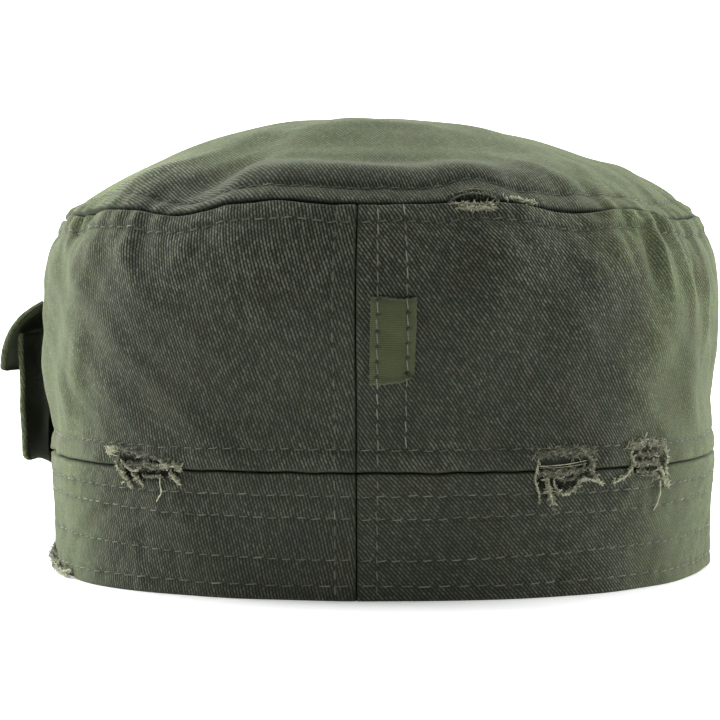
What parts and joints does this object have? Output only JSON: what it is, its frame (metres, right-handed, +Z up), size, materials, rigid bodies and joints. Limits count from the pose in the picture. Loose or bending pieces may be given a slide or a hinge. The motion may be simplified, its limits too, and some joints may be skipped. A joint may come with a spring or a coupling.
{
  "type": "cadet cap",
  "caption": "Soft olive twill cadet cap with a domed oval top, upright side wall, lower band, short front peak, flapped side pocket and a blank woven tab at the back.",
  "frame": {"origin": "on the surface the cap rests on, under the middle of its bounding box, peak and pocket flap included", "axes": "+Z up; -Y towards the peak at the front, +Y towards the centre-back seam; +X towards the wearer's left, where the pocket sits"},
  "size_m": [0.1954, 0.2632, 0.12],
  "materials": {
    "crown_twill": "washed olive cotton twill, worn pale along seams and folds",
    "band_twill": "washed olive cotton twill, doubled and stitched in rows, frayed at the seam",
    "peak_twill": "olive cotton twill over a stiffener",
    "pocket_twill": "olive cotton twill, darker in its folds",
    "woven_tape": "woven tape, yellowish olive, blank"
  },
  "bodies": {
    "root": {"band": "band_twill", "back_panel_left": "crown_twill", "front_panel": "crown_twill", "back_panel_right": "crown_twill", "crown_top": "crown_twill", "peak": "peak_twill", "pocket": "pocket_twill", "pocket_flap": "pocket_twill", "woven_tab": "woven_tape"}
  },
  "joints": []
}
